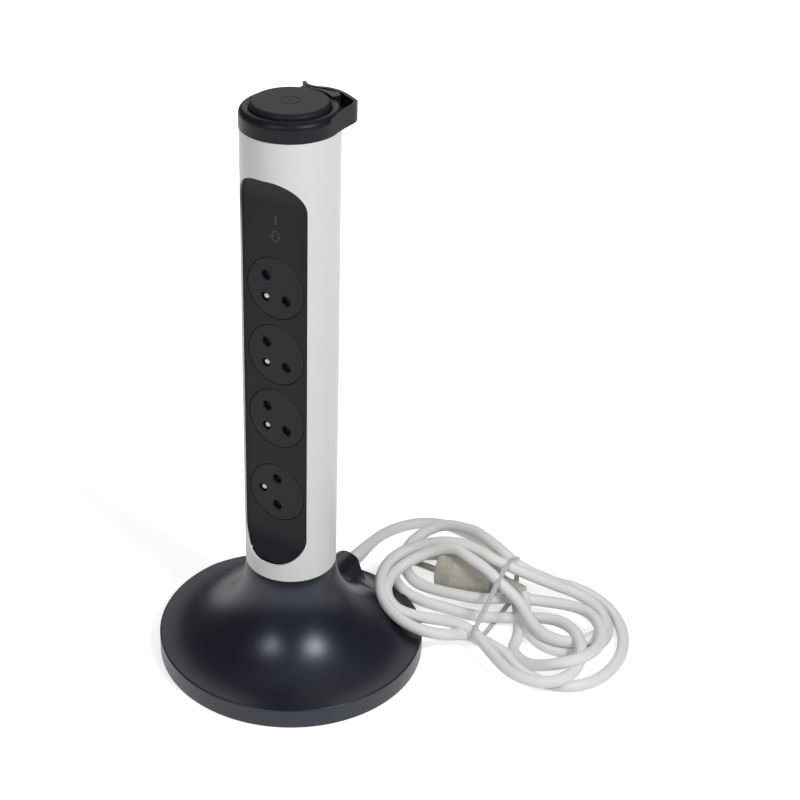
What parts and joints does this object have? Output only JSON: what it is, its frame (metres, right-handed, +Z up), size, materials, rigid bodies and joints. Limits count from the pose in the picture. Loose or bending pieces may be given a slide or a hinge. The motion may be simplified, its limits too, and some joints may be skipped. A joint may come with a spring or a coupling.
{
  "type": "vertical power strip",
  "caption": "Upright power tower: round weighted foot, white column with a dark panel of sprung round sockets, push switch and cord hook on top, tied lead with plug.",
  "frame": {"origin": "on the column's axis at the surface that the foot pads stand on", "axes": "+Z up along the column; the sockets face -Y; the lead leaves the foot at +Y; +X is to the right when the sockets are seen from the front"},
  "size_m": [0.2786, 0.256, 0.372],
  "materials": {
    "foot_plastic": "satin",
    "foot_plate_plastic": "matt",
    "ballast_iron": "rough",
    "dark_rubber": "matt",
    "screw_steel": "plain",
    "white_plastic": "smooth, low gloss",
    "panel_plastic": "matt",
    "disc_plastic": "matt",
    "inner_plastic": "moulded",
    "spring_steel": "wire",
    "pin_metal": "polished",
    "contact_brass": "stamped",
    "board_laminate": "satin",
    "varistor_coat": "dipped",
    "lamp_clear": "clear",
    "guide_clear": "clear, frosted",
    "ring_plastic": "satin",
    "button_plastic": "satin",
    "plunger_plastic": "plain",
    "wire_sleeve": "smooth",
    "lead_jacket": "smooth",
    "tie_clear": "clear strap",
    "plug_plastic": "smooth"
  },
  "bodies": {
    "tower": {"base_shell": "foot_plastic", "base_plate": "foot_plate_plastic", "cord_clamp": "foot_plate_plastic", "ballast_ring": "ballast_iron", "rubber_feet": "dark_rubber", "cable_gland": "dark_rubber", "base_screws": "screw_steel", "clamp_screws": "screw_steel", "cover_screws": "screw_steel", "panel_screws": "screw_steel", "column_screws": "screw_steel", "head_screws": "screw_steel", "column_shell": "white_plastic", "socket_panel": "panel_plastic", "contact_carrier": "inner_plastic", "carrier_cover": "inner_plastic", "head_plate": "inner_plastic", "switch_body": "inner_plastic", "disc_spring_1": "spring_steel", "disc_spring_2": "spring_steel", "disc_spring_3": "spring_steel", "disc_spring_4": "spring_steel", "button_spring": "spring_steel", "earth_pin_1": "pin_metal", "earth_pin_2": "pin_metal", "earth_pin_3": "pin_metal", "earth_pin_4": "pin_metal", "plug_pins": "pin_metal", "live_bar": "contact_brass", "neutral_bar": "contact_brass", "earth_bar": "contact_brass", "surge_board": "board_laminate", "varistors": "varistor_coat", "indicator_lamp": "lamp_clear", "light_guide": "guide_clear", "head_ring": "ring_plastic", "core_wires": "wire_sleeve", "lead_stub": "lead_jacket", "cord_tube": "lead_jacket", "cord_hank": "lead_jacket", "cord_tie": "tie_clear", "plug_body": "plug_plastic", "plug_boot": "plug_plastic"},
    "button": {"power_button": "button_plastic", "switch_plunger": "plunger_plastic"},
    "disc_1": {"socket_disc_1": "disc_plastic", "disc_back_1": "inner_plastic"},
    "shutter_body_1": {"shutter_1": "inner_plastic"},
    "disc_2": {"socket_disc_2": "disc_plastic", "disc_back_2": "inner_plastic"},
    "shutter_body_2": {"shutter_2": "inner_plastic"},
    "disc_3": {"socket_disc_3": "disc_plastic", "disc_back_3": "inner_plastic"},
    "shutter_body_3": {"shutter_3": "inner_plastic"},
    "disc_4": {"socket_disc_4": "disc_plastic", "disc_back_4": "inner_plastic"},
    "shutter_body_4": {"shutter_4": "inner_plastic"}
  },
  "joints": [
    {"name": "button_press", "type": "slide", "parent": "tower", "child": "button", "axis": [0, 0, -1], "range_m": [0, 0.0025], "stiffness_N_per_m": 400, "springref_m": -0.002, "deforming": ["button_spring"]},
    {"name": "disc_push_1", "type": "slide", "parent": "tower", "child": "disc_1", "axis": [0, 1, 0], "range_m": [0, 0.012], "stiffness_N_per_m": 150, "springref_m": -0.004, "deforming": ["disc_spring_1"]},
    {"name": "shutter_slide_1", "type": "slide", "parent": "disc_1", "child": "shutter_body_1", "axis": [0.7071, 0, 0.7071], "range_m": [0, 0.0065], "stiffness_N_per_m": 60, "springref_m": -0.003},
    {"name": "disc_push_2", "type": "slide", "parent": "tower", "child": "disc_2", "axis": [0, 1, 0], "range_m": [0, 0.012], "stiffness_N_per_m": 150, "springref_m": -0.004, "deforming": ["disc_spring_2"]},
    {"name": "shutter_slide_2", "type": "slide", "parent": "disc_2", "child": "shutter_body_2", "axis": [0.7071, 0, 0.7071], "range_m": [0, 0.0065], "stiffness_N_per_m": 60, "springref_m": -0.003},
    {"name": "disc_push_3", "type": "slide", "parent": "tower", "child": "disc_3", "axis": [0, 1, 0], "range_m": [0, 0.012], "stiffness_N_per_m": 150, "springref_m": -0.004, "deforming": ["disc_spring_3"]},
    {"name": "shutter_slide_3", "type": "slide", "parent": "disc_3", "child": "shutter_body_3", "axis": [0.7071, 0, 0.7071], "range_m": [0, 0.0065], "stiffness_N_per_m": 60, "springref_m": -0.003},
    {"name": "disc_push_4", "type": "slide", "parent": "tower", "child": "disc_4", "axis": [0, 1, 0], "range_m": [0, 0.012], "stiffness_N_per_m": 150, "springref_m": -0.004, "deforming": ["disc_spring_4"]},
    {"name": "shutter_slide_4", "type": "slide", "parent": "disc_4", "child": "shutter_body_4", "axis": [1, 0, 0], "range_m": [0, 0.0065], "stiffness_N_per_m": 60, "springref_m": -0.003}
  ]
}
